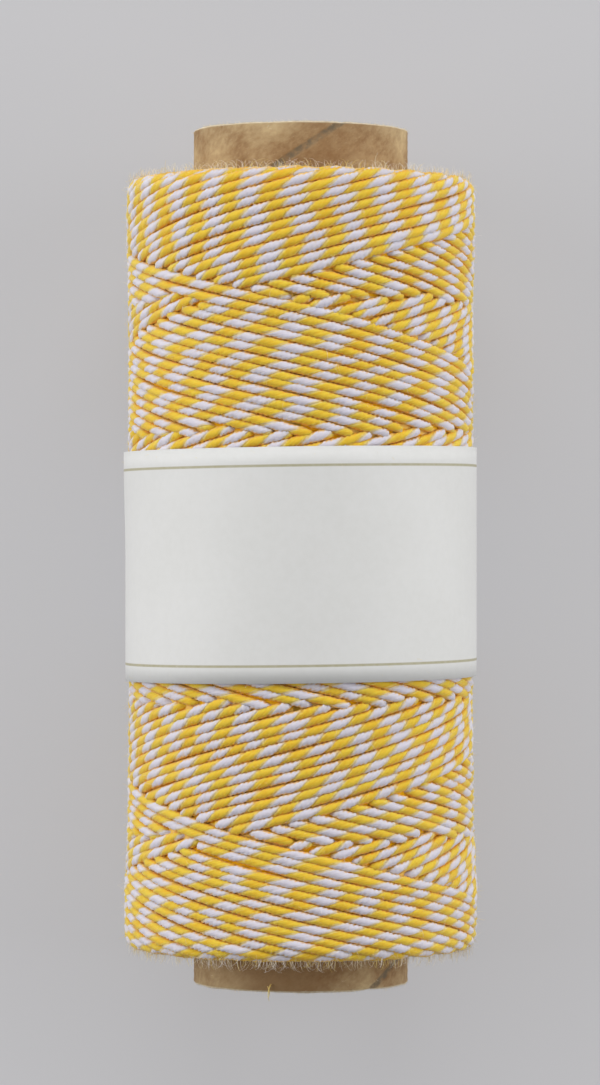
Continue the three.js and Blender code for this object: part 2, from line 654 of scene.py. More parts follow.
@dataclass
class Growth:
    """A Geometry Nodes tree with named inputs, and its use on meshes."""

    name: str
    graph: Graph = field(init=False)
    keys: dict[str, str] = field(init=False, default_factory=dict)
    entry: NodeOutputs = field(init=False)
    inputs: ClassVar[Mapping[str, str]] = {}

    def __post_init__(self) -> None:
        """Start the tree with its geometry sockets and its named inputs, and fill it."""
        tree = bpy.data.node_groups.new(self.name, "GeometryNodeTree")
        for way in ("OUTPUT", "INPUT"):
            tree.interface.new_socket(name="Geometry", in_out=way, socket_type="NodeSocketGeometry")
        for name, kind in (*self.inputs.items(), ("Material", "Material")):
            kind = f"NodeSocket{kind}"
            socket = tree.interface.new_socket(name=name, in_out="INPUT", socket_type=kind)
            self.keys[name] = socket.identifier
        self.graph = Graph(tree)
        self.entry = self.graph.node("NodeGroupInput")
        self.build()

    def build(self) -> None:
        """Fill the tree; a kind of growth says how."""

    def read(self, name: str, vector: bool = False) -> Wire:
        """Read a named attribute.

        Args:
            name: The attribute.
            vector: Whether it is a vector.

        Returns:
            Its value.
        """
        settings = {"data_type": "FLOAT_VECTOR" if vector else "FLOAT"}
        found = self.graph.node("GeometryNodeInputNamedAttribute", settings, {"Name": name})
        return found["Attribute"]

    def end(self, geometry: Wire) -> None:
        """Realise what was made, give it its material and end the tree.

        Args:
            geometry: The finished geometry.
        """
        smooth = self.graph.node("GeometryNodeSetShadeSmooth", None, {"Geometry": geometry})[0]
        real = self.graph.node("GeometryNodeRealizeInstances", None, {"Geometry": smooth})[0]
        sockets = {"Geometry": real, "Material": self.entry["Material"]}
        dressed = self.graph.node("GeometryNodeSetMaterial", None, sockets)[0]
        self.graph.node("NodeGroupOutput", None, {0: dressed})

    def grow(self, name: str, mesh: bpy.types.Mesh, values: Mapping[str, Any]) -> bpy.types.Object:
        """Run the tree on a mesh and keep the result as a plain mesh.

        Args:
            name: The new piece's name.
            mesh: What the tree starts from.
            values: The tree's inputs, by name.

        Returns:
            The new piece.
        """
        host = new_piece(f"{name}_host", mesh)
        modifier = host.modifiers.new(self.name, "NODES")
        modifier.node_group = self.graph.tree
        for key, value in values.items():
            modifier[self.keys[key]] = value
        evaluated = host.evaluated_get(bpy.context.evaluated_depsgraph_get())
        result = bpy.data.meshes.new_from_object(evaluated)
        result.name = name
        host.modifiers.remove(modifier)
        bpy.data.objects.remove(host)
        return new_piece(name, result)


class PlyGrowth(Growth):
    """Winds one soft ply round centre lines: a half-round section that turns with their twist."""

    inputs = {
        **dict.fromkeys(("Middle", "Bulge", "Half width", "Cut angle", "Turn"), "Float"),
        "Sides": "Int",
    }

    def build(self) -> None:
        """Sweep the section along the centre lines, and turn each of its rings by the twist."""
        graph, entry = self.graph, self.entry
        curve = graph.node("GeometryNodeMeshToCurve", None, {"Mesh": entry["Geometry"]})[0]
        sockets = {"Curve": curve, "Profile Curve": self._section(), "Fill Caps": True}
        tube = graph.node("GeometryNodeCurveToMesh", None, sockets)[0]
        angle = self.read("twist") + entry["Turn"]
        cosine, sine = angle.math("COSINE"), angle.math("SINE")
        section = graph.split(self.read("section", True))
        girth = self.read("girth")
        rise = (section[0] * cosine - section[1] * sine) * girth
        aside = (section[0] * sine + section[1] * cosine) * girth
        outward = graph.scaled(self.read("outward", True), rise)
        sideways = graph.scaled(self.read("side", True), aside)
        offset = graph.vector("ADD", outward, sideways)
        place = graph.vector("ADD", self.read("centre", True), offset)
        sockets = {"Geometry": tube, "Name": "rise", "Value": rise * (1.0 / MM)}
        tube = graph.node("GeometryNodeStoreNamedAttribute", {"domain": "POINT"}, sockets)[0]
        tube = graph.node("GeometryNodeSetPosition", None, {"Geometry": tube, "Position": place})[0]
        tube = graph.node("GeometryNodeFlipFaces", None, {"Mesh": tube})[0]
        bend = graph.node("GeometryNodeInputMeshEdgeAngle")["Unsigned Angle"]
        sockets = {0: bend.math("GREATER_THAN", CREASE), 1: 0.5}
        corner = graph.node("FunctionNodeCompare", {"operation": "GREATER_THAN"}, sockets)[0]
        sockets = {"Geometry": tube, "Selection": corner, "Shade Smooth": False}
        tube = graph.node("GeometryNodeSetShadeSmooth", {"domain": "EDGE"}, sockets)[0]
        for spent in ("outward", "side", "centre", "twist", "girth", "section"):
            sockets = {"Geometry": tube, "Name": spent}
            tube = graph.node("GeometryNodeRemoveAttribute", None, sockets)[0]
        self.end(tube)

    def _section(self) -> Wire:
        """Make the half-round section, with its shape kept as attributes of its points.

        Returns:
            The section's curve.
        """
        graph, entry = self.graph, self.entry
        sockets = {"Resolution": entry["Sides"], "Radius": MM}
        circle = graph.node("GeometryNodeCurvePrimitiveCircle", None, sockets)
        share = graph.node("GeometryNodeInputIndex")[0] / (entry["Sides"] - 1.0)
        angle = (share * 2.0 - 1.0) * entry["Cut angle"]
        cosine, sine = angle.math("COSINE"), angle.math("SINE")
        height = entry["Middle"] + entry["Bulge"] * cosine
        shape = graph.join(X=height, Y=entry["Half width"] * sine)
        around = graph.join(X=cosine, Y=sine)
        profile = circle["Curve"]
        settings = {"data_type": "FLOAT_VECTOR", "domain": "POINT"}
        for name, value in {"section": shape, "around": around}.items():
            sockets = {"Geometry": profile, "Name": name, "Value": value}
            profile = graph.node("GeometryNodeStoreNamedAttribute", settings, sockets)[0]
        return profile


class FuzzGrowth(Growth):
    """Scatters short curved fibres over the outside of a mesh."""

    faces_out: ClassVar[float] = 0.35
    faces_end: ClassVar[float] = 0.3
    underside: ClassVar[float] = -0.85
    clearance: ClassVar[float] = 1.6
    bends: ClassVar[tuple[float, float]] = (0.2, 1.4)
    heights: ClassVar[tuple[float, float]] = (0.35, 1.0)
    bow: ClassVar[tuple[float, float]] = (0.1, 0.6)
    tip: ClassVar[tuple[float, float]] = (0.75, 0.8)
    rooted: ClassVar[float] = 0.12
    taper: ClassVar[float] = 0.7
    inputs = {
        **dict.fromkeys(("Side density", "End density", "Fibre length", "Fibre radius"), "Float"),
        **dict.fromkeys(("Spread", "Axis height", "Lower end", "Upper end"), "Float"),
        "Seed": "Int",
    }

    def build(self) -> None:
        """Scatter points where the mesh faces out, and stand a bent tapered fibre on each."""
        graph, entry = self.graph, self.entry
        place = graph.node("GeometryNodeInputPosition")[0]
        centre = graph.join(Z=entry["Axis height"])
        away = graph.vector("MULTIPLY", graph.vector("SUBTRACT", place, centre), (1.0, 0.0, 1.0))
        away = graph.vector("NORMALIZE", away)
        normal = graph.node("GeometryNodeInputNormal")[0]
        side = graph.vector("DOT_PRODUCT", normal, away).math("GREATER_THAN", self.faces_out)
        along, height = graph.split(place)[1], graph.split(place)[2]
        lean = graph.split(normal)[1]
        above = along.math("GREATER_THAN", entry["Upper end"])
        above = above * lean.math("GREATER_THAN", self.faces_end)
        below = along.math("LESS_THAN", entry["Lower end"])
        below = below * lean.math("LESS_THAN", -self.faces_end)
        clear = graph.split(away)[2].math("GREATER_THAN", self.underside)
        clear = clear * height.math("GREATER_THAN", self.clearance * MM)
        density = (side * entry["Side density"] + (above + below) * entry["End density"]) * clear
        sockets = {"Mesh": entry["Geometry"], "Density": density, "Seed": entry["Seed"]}
        scattered = graph.node("GeometryNodeDistributePointsOnFaces", None, sockets)
        sockets = {"Min": (-1.0, -1.0, -1.0), "Max": (1.0, 1.0, 1.0), "Seed": entry["Seed"]}
        chance = graph.node("FunctionNodeRandomValue", {"data_type": "FLOAT_VECTOR"}, sockets)[0]
        heading = graph.vector("ADD", scattered["Normal"], graph.scaled(chance, entry["Spread"]))
        sockets = {"Vector": heading}
        rotation = graph.node("FunctionNodeAlignRotationToVector", {"axis": "Z"}, sockets)[0]
        spin = self._chance(0.0, TURN, 11)
        sockets = {"Axis": (0.0, 0.0, 1.0), "Angle": spin}
        spun = graph.node("FunctionNodeAxisAngleToRotation", None, sockets)[0]
        settings = {"rotation_space": "LOCAL"}
        sockets = {"Rotation": rotation, "Rotate By": spun}
        rotation = graph.node("FunctionNodeRotateRotation", settings, sockets)[0]
        size = graph.join(X=self._chance(*self.bends, 12), Y=1.0, Z=self._chance(*self.heights, 13))
        sockets = {"Points": scattered["Points"], "Instance": self._fibre()}
        sockets |= {"Rotation": rotation, "Scale": size}
        self.end(graph.node("GeometryNodeInstanceOnPoints", None, sockets)[0])

    @staticmethod
    def values(
        densities: tuple[float, float],
        fibre: tuple[float, float],
        spread: float,
        ends: tuple[float, float],
        seed: int,
        material: bpy.types.Material,
    ) -> dict[str, Any]:
        """Name the tree's inputs.

        Args:
            densities: The fibres to a square metre of the side and of the ends.
            fibre: A fibre's length and radius.
            spread: How far fibres lean.
            ends: Where the lower end ends and the upper one starts.
            seed: The seed of all draws.
            material: The fibres' material.

        Returns:
            The inputs' values by name.
        """
        return {
            "Side density": densities[0],
            "End density": densities[1],
            "Fibre length": fibre[0] * MM,
            "Fibre radius": fibre[1] * MM,
            "Spread": spread,
            "Axis height": AXIS_HEIGHT * MM,
            "Lower end": ends[0] * MM,
            "Upper end": ends[1] * MM,
            "Seed": seed,
            "Material": material,
        }

    def _chance(self, low: float, high: float, seed: int) -> Wire:
        """Draw a random number for each fibre."""
        sockets = {"Min": low, "Max": high, "Seed": seed}
        return self.graph.node("FunctionNodeRandomValue", None, sockets)[0]

    def _fibre(self) -> Wire:
        """Make one bent fibre that stands along Z, three-sided and tapered to its tip.

        Returns:
            The fibre's mesh.
        """
        graph, entry = self.graph, self.entry
        length = entry["Fibre length"]
        bow = graph.join(X=length * self.bow[0], Z=length * self.bow[1])
        tip = graph.join(X=length * self.tip[0], Z=length * self.tip[1])
        root = graph.join(Z=length * -self.rooted)
        sockets = {"Resolution": 3, "Start": root, "Middle": bow, "End": tip}
        line = graph.node("GeometryNodeCurveQuadraticBezier", None, sockets)[0]
        sockets = {"Resolution": 3, "Radius": entry["Fibre radius"]}
        circle = graph.node("GeometryNodeCurvePrimitiveCircle", None, sockets)["Curve"]
        taper = 1.0 - graph.node("GeometryNodeSplineParameter")["Factor"] * self.taper
        sockets = {"Curve": line, "Profile Curve": circle, "Scale": taper, "Fill Caps": True}
        return graph.node("GeometryNodeCurveToMesh", None, sockets)[0]


# ---- The wound twine ----


class Family(Enum):
    """The two ways that strands cross the winding, seen with +Y up and travelling to +X."""

    RISING = 1
    FALLING = -1


class Colourway(Enum):
    """The two plies of the twine, each with the half turn that it lags by."""

    WHITE = 0.0
    YELLOW = math.pi


@dataclass(frozen=True)
class WoundForm:
    """The outside of the wound twine, which the strands follow."""

    lower_end: float = -52.2
    upper_end: float = 50.4
    shoulder: float = 2.0
    stations: tuple[tuple[float, float], ...] = (
        *((-52.2, 23.45), (-46.0, 23.5), (-34.0, 23.1), (-20.0, 22.95)),
        *((16.0, 23.0), (32.0, 23.0), (44.0, 23.25), (50.4, 23.2)),
    )

    def radius(self, y: np.ndarray) -> np.ndarray:
        """Return the winding's outside radius.

        Args:
            y: Places along the tube.

        Returns:
            The radius at each.
        """
        places, radii = np.array(self.stations).T
        upper = np.clip(np.searchsorted(places, y), 1, len(places) - 1)
        share = smoothstep(y, places[upper - 1], places[upper])
        return radii[upper - 1] + (radii[upper] - radii[upper - 1]) * share

    def line_radius(self, y: np.ndarray, depth: float) -> np.ndarray:
        """Return the radius of a line that keeps a depth under the surface, over the shoulders too.

        Args:
            y: Places along the tube.
            depth: How far under the surface the line is.

        Returns:
            The radius at each place.
        """
        from_end = np.minimum(self.upper_end - y, y - self.lower_end)
        turned = np.clip(self.shoulder - from_end, 0.0, self.shoulder - depth)
        bend = self.shoulder - depth
        return self.radius(y) - self.shoulder + np.sqrt(bend * bend - turned * turned)

    @staticmethod
    def points(
        angle: np.ndarray, radius: np.ndarray, y: np.ndarray, clearance: float
    ) -> np.ndarray:
        """Place points round the axis, kept above the floor.

        Args:
            angle: Angles from straight up, towards +X.
            radius: Distances from the axis.
            y: Places along it.
            clearance: The least height above the floor.

        Returns:
            One row for each point.
        """
        reach = floor_reach(angle, radius, clearance)
        return columns(reach * np.sin(angle), y, AXIS_HEIGHT + reach * np.cos(angle))


@dataclass
class StrandRun:
    """One run of a strand's centre line, with what its plies need to wind round it."""

    centre: np.ndarray
    outward: np.ndarray
    side: np.ndarray
    run: np.ndarray
    twist: np.ndarray
    girth: np.ndarray
    tone: float


@dataclass
class TwineLay:
    """How the twine is laid: its strands, their angle and which family lies on top where."""

    form: WoundForm = field(default_factory=WoundForm)
    strands: int = 27
    lead: float = 35.03
    lay_radius: float = 23.2
    strand_radius: float = 0.64
    pitch: float = 5.8
    steps_per_pitch: int = 9
    crossing_y: float = -1.47
    crossing_angle: float = math.radians(-35.0)
    falling_shift: float = 0.061
    younger_falling: float = 0.3
    layer_drop: float = 1.12
    tuck: float = 5.0
    turn_softness: float = 0.6
    end_inset: float = 0.9
    after_turn: float = 7.0
    forced_end: float = 3.0
    dive: float = 1.35
    sinks: tuple[float, float] = (0.3, 3.5)
    settles: tuple[float, float] = (2.0, 8.0)
    wander_lengths: tuple[float, ...] = (23.0, 47.0, 118.0)
    wander_shares: tuple[float, float] = (0.3, 1.0)
    wander_total: float = 1.3
    sway: float = 0.13
    heave: float = 0.035
    girth_change: float = 0.06
    twist_change: float = 0.9
    turn_scatter: float = 0.7
    end_margin: float = 0.2
    clearance: float = 0.84
    band_middle: float = -1.0
    band_hidden: float = 12.5
    end_layers: int = 6
    end_layer_gap: float = 1.14
    end_outer: float = 1.9
    end_half: float = 5.2
    end_slant: float = 0.32
    end_slant_half: float = 3.0
    end_apart: float = 100.0
    end_scatter: float = 0.12
    end_shift: float = 0.3
    end_sink: tuple[float, float] = (0.08, 0.05)
    seed: int = 7
    slope: float = field(init=False)
    lean: float = field(init=False)
    chance: np.random.RandomState = field(init=False)
    front_twist: Mapping[Family, Sequence[tuple[float, float, float]]] = field(
        default_factory=lambda: {
            Family.RISING: (
                *((33.0, 1.1, 0.0), (-1.5, 3.9, 0.15)),
                *((-36.0, 1.5, 0.45), (-99.0, 5.2, 0.2)),
            ),
            Family.FALLING: (
                *((33.0, 2.0, 0.3), (16.0, 1.8, 0.37)),
                *((-36.0, 4.3, 0.35), (-99.0, 3.5, 0.42)),
            ),
        }
    )

    def __post_init__(self) -> None:
        """Work out the strands' slope and start the random draws."""
        self.slope = self.lead / (TURN * self.lay_radius)
        self.lean = math.atan(self.slope)
        self.chance = np.random.RandomState(self.seed)

    def newest(self, family: Family, y: np.ndarray) -> np.ndarray:
        """Return the angle of a family's newest strand."""
        shift = self.falling_shift if family is Family.FALLING else 0.0
        return self.crossing_angle + shift + family.value * (y - self.crossing_y) * TURN / self.lead

    def on_top(self, family: Family, order: int, angle: np.ndarray, y: np.ndarray) -> np.ndarray:
        """Say where a strand lies over the other family.

        Args:
            family: The strand's family.
            order: How many strands were laid after it.
            angle: Its angles.
            y: Its places along the tube.

        Returns:
            True where it is on top.
        """
        share = TURN / self.strands
        rising = family is Family.RISING
        other = Family.FALLING if rising else Family.RISING
        behind = np.mod(self.newest(other, y) - angle, TURN) / share
        met = np.round(behind)
        crossing_y = y + family.value * (behind - met) * self.lead / self.strands / 2
        if rising:
            top = order * share < self._falling_age(met)
        else:
            top = self._falling_age(np.array(order)) <= np.mod(met, self.strands) * share
        near_upper = crossing_y > self.form.upper_end - self.forced_end
        near_lower = crossing_y < self.form.lower_end + self.forced_end
        mine, others = (near_upper, near_lower) if rising else (near_lower, near_upper)
        return (top | mine) & ~others

    def _falling_age(self, order: np.ndarray) -> np.ndarray:
        """Return the age of falling strands as an angle; the youngest are below zero."""
        early = self.younger_falling - self.falling_shift
        return np.mod(order * TURN / self.strands + early, TURN) - early

    def wander(self, along: np.ndarray, size: float) -> np.ndarray:
        """Draw a slow random wander along a strand.

        Args:
            along: Places along the strand.
            size: How far it wanders.

        Returns:
            The offset at each place.
        """
        total = np.zeros_like(along)
        for length in self.wander_lengths:
            phase = self.chance.uniform(0.0, TURN)
            wave = np.sin(along * TURN / length + phase)
            total += wave * self.chance.uniform(*self.wander_shares)
        return total * size / self.wander_total

    def runs(self) -> list[StrandRun]:
        """Return the visible runs of every strand in the outermost layer.

        Returns:
            The runs, family by family.
        """
        found = []
        for family in Family:
            for order in range(self.strands):
                found += self._strand(family, order)
        return found

    def _strand(self, family: Family, order: int) -> list[StrandRun]:
        """Return one strand's visible runs.

        Args:
            family: Its family.
            order: How many strands were laid after it.

        Returns:
            The runs.
        """
        form, side = self.form, family.value
        apex_y = form.upper_end - self.end_inset if side > 0 else form.lower_end + self.end_inset
        step = self.pitch / self.steps_per_pitch * math.cos(self.lean)
        reach = (form.upper_end - form.lower_end) / self.slope
        x = np.arange(-reach, self.after_turn, step)
        soft = self.turn_softness
        y = apex_y + side * (soft - np.sqrt(soft * soft + (x * self.slope) ** 2))
        start = self.newest(family, np.array(apex_y + side * soft)) - order * TURN / self.strands
        angle = start + x / self.lay_radius
        along = angle * self.lay_radius * math.cos(self.lean) + side * y * math.sin(self.lean)
        beyond = np.maximum(x, 0.0)
        along = np.where(x > 0.0, np.interp(0.0, x, along) + beyond / math.cos(self.lean), along)
        spacing = step / math.cos(self.lean)
        top = self.on_top(family, order, angle, y)
        outside = self._distance(top, spacing)
        drop = self.layer_drop * smoothstep(outside, -self.dive, self.dive)
        drop = drop + smoothstep(x, *self.sinks)
        sway = self.wander(along, self.sway)
        rise = self.wander(along, self.heave)
        fade = smoothstep(-x, *self.settles)
        y = y + sway * math.cos(self.lean) * fade
        angle = angle - side * sway * math.sin(self.lean) / self.lay_radius * fade
        radius = form.line_radius(y, self.strand_radius) - drop + rise
        under_band = np.abs(y - self.band_middle) < self.band_hidden
        inside = (y > form.lower_end + self.end_margin) & (y < form.upper_end - self.end_margin)
        shown = (outside < self.tuck) & inside & ~under_band
        tone = self.chance.uniform(0.0, 1.0)
        twist = along * TURN / self.pitch + self._turned(family, order, angle, y)
        twist = twist + self.wander(along, self.twist_change)
        line = (angle, radius, y, along, twist, tone)
        return [self._run(part, *line) for part in self._parts(shown)]

    def _turned(self, family: Family, order: int, angle: np.ndarray, y: np.ndarray) -> np.ndarray:
        """Return how far a strand's plies are turned beyond an even twist.

        Args:
            family: Its family.
            order: How many strands were laid after it.
            angle: Its angles.
            y: Its places along the tube.

        Returns:
            The angle at each place.
        """
        turns = np.arange(math.floor(angle[0] / TURN), math.ceil(angle[-1] / TURN) + 1)
        front = np.interp(turns * TURN, angle, y)
        per_turn = TURN * self.lay_radius * math.cos(self.lean) * TURN / self.pitch
        steps = self.front_twist[family]
        wanted = []
        for turn, place in zip(turns, front):
            base, drift = next((b, d) for floor, b, d in steps if place >= floor)
            scatter = self.chance.normal(0.0, self.turn_scatter)
            wanted.append(base + drift * order + scatter - turn * per_turn)
        return np.interp(angle, turns * TURN, np.unwrap(wanted))

    @staticmethod
    def _distance(top: np.ndarray, step: float) -> np.ndarray:
        """Measure how far each place is outside the parts on top.

        Args:
            top: Where the strand is on top.
            step: The distance from one place to the next.

        Returns:
            The distance, negative inside those parts.
        """
        index, far = np.arange(len(top)), 10_000

        def nearest(wanted: np.ndarray) -> np.ndarray:
            """Return the distance to the nearest wanted place."""
            before = np.maximum.accumulate(np.where(wanted, index, -far))
            after = np.minimum.accumulate(np.where(wanted, index, 2 * far)[::-1])[::-1]
            return np.minimum(index - before, after - index) * step

        return np.where(top, -nearest(~top), nearest(top))

    @staticmethod
    def _parts(shown: np.ndarray, least: int = 3) -> list[slice]:
        """Split a strand into its shown parts.

        Args:
            shown: Where it is shown.
            least: The fewest places in a part.

        Returns:
            A slice for each part.
        """
        padded = np.concatenate([[False], shown, [False]])
        edges = np.flatnonzero(padded[1:] != padded[:-1])
        return [slice(a, b) for a, b in zip(edges[::2], edges[1::2]) if b - a >= least]

    def _run(
        self,
        part: slice,
        angle: np.ndarray,
        radius: np.ndarray,
        y: np.ndarray,
        along: np.ndarray,
        twist: np.ndarray,
        tone: float,
    ) -> StrandRun:
        """Cut one run from a strand.

        Args:
            part: Which places it takes.
            angle: The strand's angles.
            radius: Its distances from the axis.
            y: Its places along the tube.
            along: The length along it.
            twist: How far its plies are turned.
            tone: Its shade, from 0 to 1.

        Returns:
            The run.
        """
        places = self.form.points(angle[part], radius[part], y[part], self.clearance)
        outward = columns(np.sin(angle[part]), 0.0, np.cos(angle[part]))
        heading = np.gradient(places, axis=0)
        heading /= np.linalg.norm(heading, axis=1)[:, None]
        girth = 1.0 + self.wander(along[part], self.girth_change)
        side = np.cross(outward, heading)
        return StrandRun(places, outward, side, along[part], twist[part], girth, tone)

    def end_loops(self, upper: bool) -> list[StrandRun]:
        """Return the turns of the deeper layers that make an end face.

        Args:
            upper: Whether it is the upper end.

        Returns:
            The turns.
        """
        side = 1 if upper else -1
        end = self.form.upper_end if upper else self.form.lower_end
        outer = float(self.form.radius(np.array(end))) - self.end_outer
        found = []
        for layer in range(self.end_layers):
            ring = outer - self.end_layer_gap * layer
            count = round(self.strands * ring / self.lay_radius)
            start = self.chance.uniform(0.0, TURN)
            for order in range(count):
                x = np.arange(-self.end_half, self.end_half, self.pitch / self.steps_per_pitch)
                soft = self.turn_softness
                nudge = self.chance.normal(0.0, self.end_scatter)
                dip = self.strand_radius + self.end_sink[0] + self.end_sink[1] * layer
                dip += abs(self.chance.normal(0.0, self.end_scatter))
                y = end - side * dip + side * (soft - np.sqrt(soft * soft + (x * self.slope) ** 2))
                shift = self.chance.normal(0.0, self.end_shift)
                angle = start + order * TURN / count + (x + shift) / ring
                turned_in = smoothstep(x, -self.end_slant_half, self.end_slant_half)
                radius = ring + nudge + self.end_slant - 2 * self.end_slant * turned_in
                twist = x * TURN / self.pitch + self.chance.uniform(0.0, TURN)
                tone = self.chance.uniform(0.0, 1.0)
                line = (angle, radius, y, x + self.end_apart * order, twist, tone)
                found.append(self._run(slice(None), *line))
        return found


@dataclass
class TwineWinding:
    """The cross-wound twine: its two plies, the layers under them, and its fuzz."""

    lay: TwineLay = field(default_factory=TwineLay)
    ply_middle: float = 0.2
    ply_bulge: float = 0.5
    white_half_width: float = 0.7
    yellow_half_width: float = 0.68
    ply_cut: float = math.radians(113.0)
    sides: int = 6
    core_radius: float = 14.45
    under_depth: float = 0.78
    under_inset: float = 1.3
    under_bevel: float = 1.2
    under_shoulder: float = 2.6
    under_gap: float = 0.1
    under_rows: int = 60
    under_columns: int = 144
    fuzz_densities: tuple[float, float] = (300_000.0, 780_000.0)
    fuzz_fibre: tuple[float, float] = (1.15, 0.021)
    fuzz_end: float = 2.0
    fuzz_seed: int = 31
    node: str = "twine_winding"
    slot: str = "cotton_twine"

    def build(self) -> list[bpy.types.Object]:
        """Build every piece of the winding.

        Returns:
            The pieces.
        """
        runs = self.lay.runs()
        middle = self.lay.band_middle
        sections = {
            "upper": [r for r in runs if r.centre[:, 1].mean() > middle],
            "lower": [r for r in runs if r.centre[:, 1].mean() <= middle],
            "ends": self.lay.end_loops(True) + self.lay.end_loops(False),
        }
        growth = PlyGrowth("ply_growth")
        finishes = {
            Colourway.YELLOW: YELLOW_COTTON.material(),
            Colourway.WHITE: WHITE_COTTON.material(),
        }
        pieces = [self._under_layers()]
        for section, strands in sections.items():
            for colourway, material in finishes.items():
                white = colourway is Colourway.WHITE
                values = {
                    "Middle": self.ply_middle * MM,
                    "Bulge": self.ply_bulge * MM,
                    "Half width": (self.white_half_width if white else self.yellow_half_width) * MM,
                    "Cut angle": self.ply_cut,
                    "Turn": colourway.value,
                    "Sides": self.sides,
                    "Material": material,
                }
                name = f"twine_{colourway.name.lower()}_{section}"
                pieces.append(growth.grow(name, self._centre_lines(strands), values))
        pieces += self._fuzz(pieces)
        for piece in pieces:
            hand_over(piece, self.node)
        return pieces + LooseFibres(self.lay.form).build(self.node, self.slot)

    @staticmethod
    def _centre_lines(strands: Sequence[StrandRun]) -> bpy.types.Mesh:
        """Write strands as one mesh of poly-lines with the attributes that the plies need.

        Args:
            strands: The strands' runs.

        Returns:
            The mesh.
        """
        points = np.concatenate([s.centre for s in strands])
        starts = np.cumsum([0] + [len(s.centre) for s in strands])
        edges = [(i, i + 1) for a, b in zip(starts[:-1], starts[1:]) for i in range(a, b - 1)]
        mesh = new_mesh("twine_centre_lines", points, (), edges)
        for name in ("outward", "side", "run", "twist", "girth"):
            keep_attribute(mesh, name, np.concatenate([getattr(s, name) for s in strands]))
        keep_attribute(mesh, "centre", points * MM)
        tones = [np.full(len(s.centre), s.tone) for s in strands]
        keep_attribute(mesh, "tone", np.concatenate(tones))
        return mesh

    def _under_layers(self) -> bpy.types.Object:
        """Build the body of the deeper layers, closed round the tube.

        Returns:
            The piece.
        """
        form, depth, lean = self.lay.form, self.under_depth, self.lay.lean
        around = self.under_columns
        low, high = form.lower_end + self.under_inset, form.upper_end - self.under_inset
        sides = np.linspace(low + self.under_bevel, high - self.under_bevel, self.under_rows)
        lower, upper = form.radius(np.array([low, high])) - self.under_shoulder
        profile = [(self.core_radius, low), (lower, low)]
        profile += list(zip(form.radius(sides) - depth - self.under_gap, sides))
        profile += [(upper, high), (self.core_radius, high)]
        angle = np.linspace(0.0, TURN, around, endpoint=False)
        rings = [form.points(angle, np.full(around, r), y, depth) for r, y in profile]
        faces = ring_faces(len(rings), around, True)
        mesh = new_mesh("twine_under_layers", np.concatenate(rings), faces)
        girth, y = np.array([(a * self.lay.lay_radius, y) for _, y in profile for a in angle]).T
        along = girth * math.cos(lean) + y * math.sin(lean)
        across = y * math.cos(lean) - girth * math.sin(lean)
        keep_attribute(mesh, "unrolled", columns(along, across, 0.0))
        return new_piece("twine_under_layers", mesh, UNDER_TWINE.material())

    def _fuzz(self, pieces: Sequence[bpy.types.Object]) -> list[bpy.types.Object]:
        """Stand loose cotton fibres on the plies.

        Args:
            pieces: The plies, among others.

        Returns:
            The fuzz, one piece for each colour.
        """
        growth, form = FuzzGrowth("fuzz_growth"), self.lay.form
        made = []
        finishes = {
            Colourway.YELLOW: YELLOW_FUZZ.material(),
            Colourway.WHITE: WHITE_FUZZ.material(),
        }
        ends = (form.lower_end + self.fuzz_end, form.upper_end - self.fuzz_end)
        for seed, (colourway, material) in enumerate(finishes.items(), self.fuzz_seed):
            colour = colourway.name.lower()
            mesh = self._joined([p for p in pieces if p.name.startswith(f"twine_{colour}_")])
            values = growth.values(self.fuzz_densities, self.fuzz_fibre, 1.0, ends, seed, material)
            made.append(growth.grow(f"twine_fuzz_{colour}", mesh, values))
        return made

    @staticmethod
    def _joined(hosts: Sequence[bpy.types.Object]) -> bpy.types.Mesh:
        """Join copies of some pieces' meshes into one mesh of bare faces.

        Args:
            hosts: The pieces.

        Returns:
            The joined mesh.
        """
        points, faces, start = [], [], 0
        for host in hosts:
            mesh = host.data
            flat = np.empty(len(mesh.vertices) * 3, dtype=np.float32)
            mesh.vertices.foreach_get("co", flat)
            points.append(flat.reshape(-1, 3) / MM)
            faces += [tuple(v + start for v in p.vertices) for p in mesh.polygons]
            start += len(mesh.vertices)
        return new_mesh("twine_fuzz_base", np.concatenate(points), faces)


@dataclass(frozen=True)
class Wisp:
    """One longer loose fibre: a bent, tapered hair given by its root, its bend and its tip."""

    root: tuple[float, float, float]
    bend: tuple[float, float, float]
    tip: tuple[float, float, float]
    radius: float = 0.035
    steps: ClassVar[int] = 5
    sides: ClassVar[int] = 3
    taper: ClassVar[float] = 0.75
    aside: ClassVar[tuple[float, float, float]] = (0.31, 0.2, 0.93)

    def rings(self) -> np.ndarray:
        """Return the points of the hair's rings, one row for each.

        Returns:
            The points, from the root to the tip.
        """
        share = np.linspace(0.0, 1.0, self.steps)[:, None]
        root, bend, tip = (np.array(p) for p in (self.root, self.bend, self.tip))
        line = (1 - share) ** 2 * root + 2 * share * (1 - share) * bend + share**2 * tip
        heading = np.gradient(line, axis=0)
        heading /= np.linalg.norm(heading, axis=1)[:, None]
        first = np.cross(heading, self.aside)
        first /= np.linalg.norm(first, axis=1)[:, None]
        second = np.cross(heading, first)
        turned = np.linspace(0.0, TURN, self.sides, endpoint=False)
        girth = self.radius * (1.0 - self.taper * share)
        rings = [
            line[i] + girth[i] * (math.cos(t) * first[i] + math.sin(t) * second[i])
            for i in range(self.steps)
            for t in turned
        ]
        return np.array(rings)


